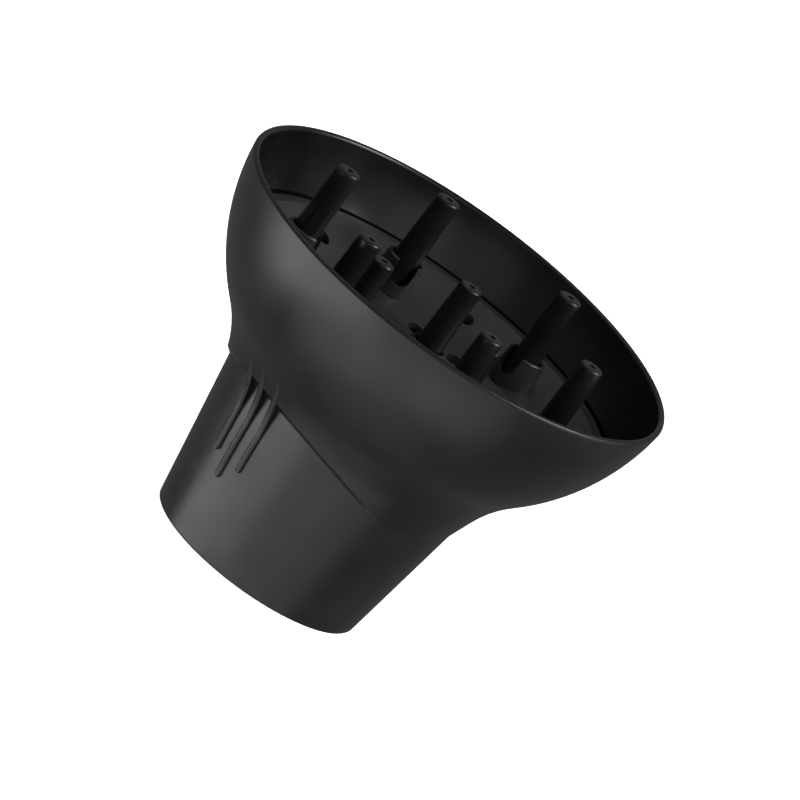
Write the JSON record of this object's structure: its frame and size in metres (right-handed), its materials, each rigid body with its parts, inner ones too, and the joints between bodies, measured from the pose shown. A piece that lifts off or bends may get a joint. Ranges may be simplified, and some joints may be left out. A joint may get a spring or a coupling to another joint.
{
  "type": "hair dryer diffuser",
  "caption": "Hair dryer diffuser: a flared bell on a conical collar that pushes onto a dryer's barrel, holding a dished, perforated plate of hollow styling fingers.",
  "frame": {"origin": "centre of the collar's mouth, on the plane of its lower edge", "axes": "+Z along the axis, out of the bell; -Y through the middle grip rib"},
  "size_m": [0.1402, 0.1402, 0.1059],
  "materials": {
    "housing_plastic": "satin charcoal moulding with a fine grain",
    "plate_plastic": "satin black moulding",
    "finger_plastic": "satin black moulding, smooth tips",
    "ring_plastic": "heat-resistant black moulding"
  },
  "bodies": {
    "housing": {"bell_housing": "housing_plastic", "coupling_ring": "ring_plastic"},
    "finger_plate": {"finger_plate": "plate_plastic", "outer_finger_1": "finger_plastic", "outer_finger_2": "finger_plastic", "outer_finger_3": "finger_plastic", "outer_finger_4": "finger_plastic", "outer_finger_5": "finger_plastic", "outer_finger_6": "finger_plastic", "inner_finger_1": "finger_plastic", "inner_finger_2": "finger_plastic", "inner_finger_3": "finger_plastic"}
  },
  "joints": [
    {"name": "plate_lift", "type": "slide", "parent": "housing", "child": "finger_plate", "axis": [0, 0, 1], "range_m": [0, 0.05]}
  ]
}
